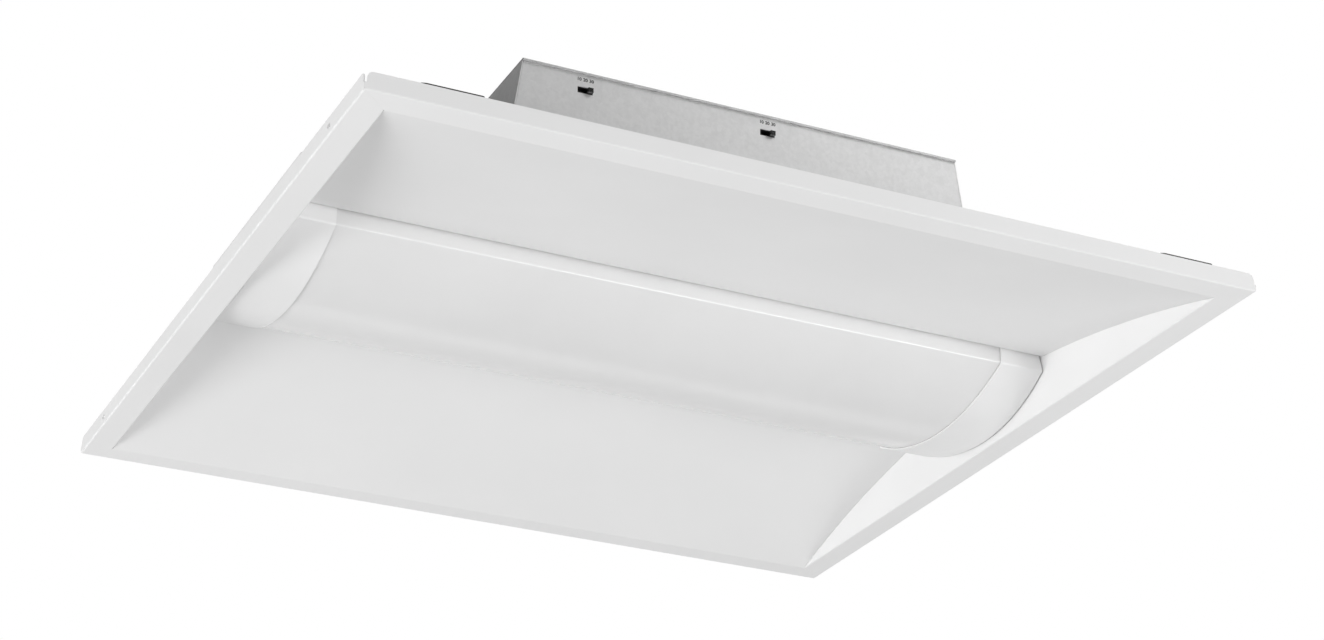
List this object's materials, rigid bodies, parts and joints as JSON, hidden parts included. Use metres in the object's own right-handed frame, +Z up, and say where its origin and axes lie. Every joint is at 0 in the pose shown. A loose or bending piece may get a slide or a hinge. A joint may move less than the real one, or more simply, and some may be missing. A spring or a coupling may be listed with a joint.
{
  "type": "recessed troffer light",
  "caption": "Square lay-in ceiling troffer with bowed reflectors, a central frosted lens basket and a driver housing with selector switches on its back.",
  "frame": {"origin": "middle of the underside of the flat border, the plane that rests on the ceiling grid", "axes": "+X along the lens basket, towards the plain end; +Y across it, towards the knockouts; +Z up into the ceiling void"},
  "size_m": [0.603, 0.603, 0.1225],
  "materials": {
    "white_paint": "smooth satin white powder coat",
    "galvanised_steel": "hot-dip galvanised sheet with a faint spangle",
    "zinc_plate": "bright zinc plate",
    "dark_steel": "blackened steel, slightly worn",
    "spring_steel": "bright spring steel",
    "frosted_lens": "frosted translucent sheet, satin",
    "white_plastic": "moulded white plastic, low sheen",
    "connector_plastic": "moulded pale plastic",
    "black_plastic": "moulded black plastic",
    "switch_knob": "black plastic with a slight sheen",
    "board_white": "white solder mask",
    "board_green": "green solder mask",
    "led_phosphor": "yellow phosphor in a white frame",
    "driver_white": "white painted sheet",
    "ferrite": "dark sintered ferrite",
    "capacitor_sleeve": "shrunk dark sleeve",
    "insulation_black": "soft black insulation",
    "insulation_white": "soft white insulation",
    "insulation_red": "soft red insulation",
    "ground_green": "green finish of a ground screw"
  },
  "bodies": {
    "fixture": {"side_panel_front": "white_paint", "side_panel_rear": "white_paint", "end_panel_left": "white_paint", "end_panel_right": "white_paint", "light_tray": "white_paint", "led_board_front": "board_white", "led_board_rear": "board_white", "led_row_front": "led_phosphor", "led_row_rear": "led_phosphor", "board_screws": "zinc_plate", "board_connectors": "connector_plastic", "basket_clips_front": "spring_steel", "basket_clips_rear": "spring_steel", "basket_clip_rivets": "zinc_plate", "housing_front": "galvanised_steel", "housing_rear": "galvanised_steel", "housing_end_left": "galvanised_steel", "housing_end_right": "galvanised_steel", "housing_screws": "zinc_plate", "knockout_slug": "galvanised_steel", "housing_lid": "galvanised_steel", "lid_screws": "zinc_plate", "driver_base": "galvanised_steel", "driver_case": "driver_white", "driver_board": "board_green", "driver_transformer": "ferrite", "driver_capacitors": "capacitor_sleeve", "driver_screws": "zinc_plate", "wire_bushing": "black_plastic", "supply_connector": "connector_plastic", "supply_lead_neutral": "insulation_white", "supply_lead_line": "insulation_black", "lamp_lead_negative": "insulation_black", "lamp_lead_positive": "insulation_red", "jumper_lead_positive": "insulation_red", "jumper_lead_negative": "insulation_black", "ground_screw": "ground_green", "clip_brackets": "galvanised_steel", "clip_rivets": "dark_steel", "output_switch_body": "black_plastic", "colour_switch_body": "black_plastic"},
    "basket": {"diffuser_lens": "frosted_lens", "end_cap_left": "white_plastic", "end_cap_right": "white_plastic"},
    "output_slider": {"output_switch_slider": "switch_knob"},
    "colour_slider": {"colour_switch_slider": "switch_knob"},
    "clip_front_left": {"grid_clip_front_left": "dark_steel"},
    "clip_front_right": {"grid_clip_front_right": "dark_steel"},
    "clip_rear_right": {"grid_clip_rear_right": "dark_steel"},
    "clip_rear_left": {"grid_clip_rear_left": "dark_steel"}
  },
  "joints": [
    {"name": "basket_drop", "type": "slide", "parent": "fixture", "child": "basket", "axis": [0, 0, -1], "range_m": [0, 0.06]},
    {"name": "output_switch_slide", "type": "slide", "parent": "fixture", "child": "output_slider", "axis": [-1, 0, 0], "range_m": [0, 0.006]},
    {"name": "colour_switch_slide", "type": "slide", "parent": "fixture", "child": "colour_slider", "axis": [-1, 0, 0], "range_m": [0, 0.006]},
    {"name": "clip_front_left_swing", "type": "hinge", "parent": "fixture", "child": "clip_front_left", "pos_m": [-0.2632, -0.2925, 0.0132], "axis": [0, 0, -1], "range_deg": [0, 90]},
    {"name": "clip_front_right_swing", "type": "hinge", "parent": "fixture", "child": "clip_front_right", "pos_m": [0.2354, -0.2925, 0.0132], "axis": [0, 0, -1], "range_deg": [0, 90]},
    {"name": "clip_rear_right_swing", "type": "hinge", "parent": "fixture", "child": "clip_rear_right", "pos_m": [0.2632, 0.2925, 0.0132], "axis": [0, 0, -1], "range_deg": [0, 90]},
    {"name": "clip_rear_left_swing", "type": "hinge", "parent": "fixture", "child": "clip_rear_left", "pos_m": [-0.2354, 0.2925, 0.0132], "axis": [0, 0, -1], "range_deg": [0, 90]}
  ]
}
